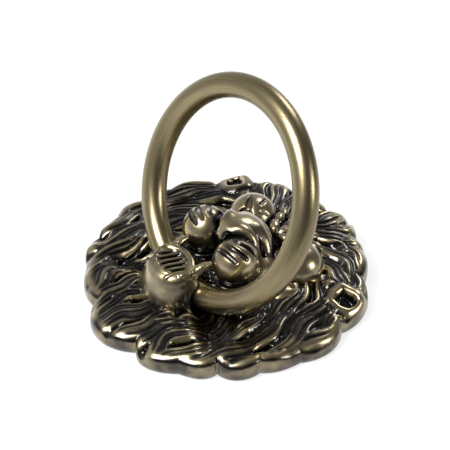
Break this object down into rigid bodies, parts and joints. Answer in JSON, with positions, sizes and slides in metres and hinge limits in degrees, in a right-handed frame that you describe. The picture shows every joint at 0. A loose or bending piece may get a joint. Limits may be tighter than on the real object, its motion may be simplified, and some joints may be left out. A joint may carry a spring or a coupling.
{
  "type": "lion-head door knocker",
  "caption": "Cast lion-head door knocker: a scalloped mane disc with the face in relief and a plain round ring that swings in its closed mouth.",
  "frame": {"origin": "midway between the two insert bores, in the plane of the back face that lies on the door", "axes": "+Z out of the door through the nose, +Y to the forehead, +X to the lion's left ear"},
  "size_m": [0.1191, 0.1231, 0.0917],
  "materials": {
    "patinated_casting": "antique brass plating on a casting, near black in the recesses and rubbed bright on the high parts, glossy lacquer",
    "brushed_antique_brass": "antique brass plating, softly brushed along the bar, satin lacquer",
    "zinc_plated_steel": "bright zinc plate",
    "turned_brass": "turned, uncoated"
  },
  "bodies": {
    "plate": {"mask": "patinated_casting", "lower_jaw": "patinated_casting", "jaw_screws": "zinc_plated_steel", "jaw_lock_washers": "zinc_plated_steel", "threaded_inserts": "turned_brass"},
    "knocker_ring": {"ring": "brushed_antique_brass"}
  },
  "joints": [
    {"name": "ring_swing", "type": "hinge", "parent": "plate", "child": "knocker_ring", "pos_m": [0.004, -0.0184, 0.008], "axis": [0.9925, 0.1219, 0], "range_deg": [0, 98]}
  ]
}
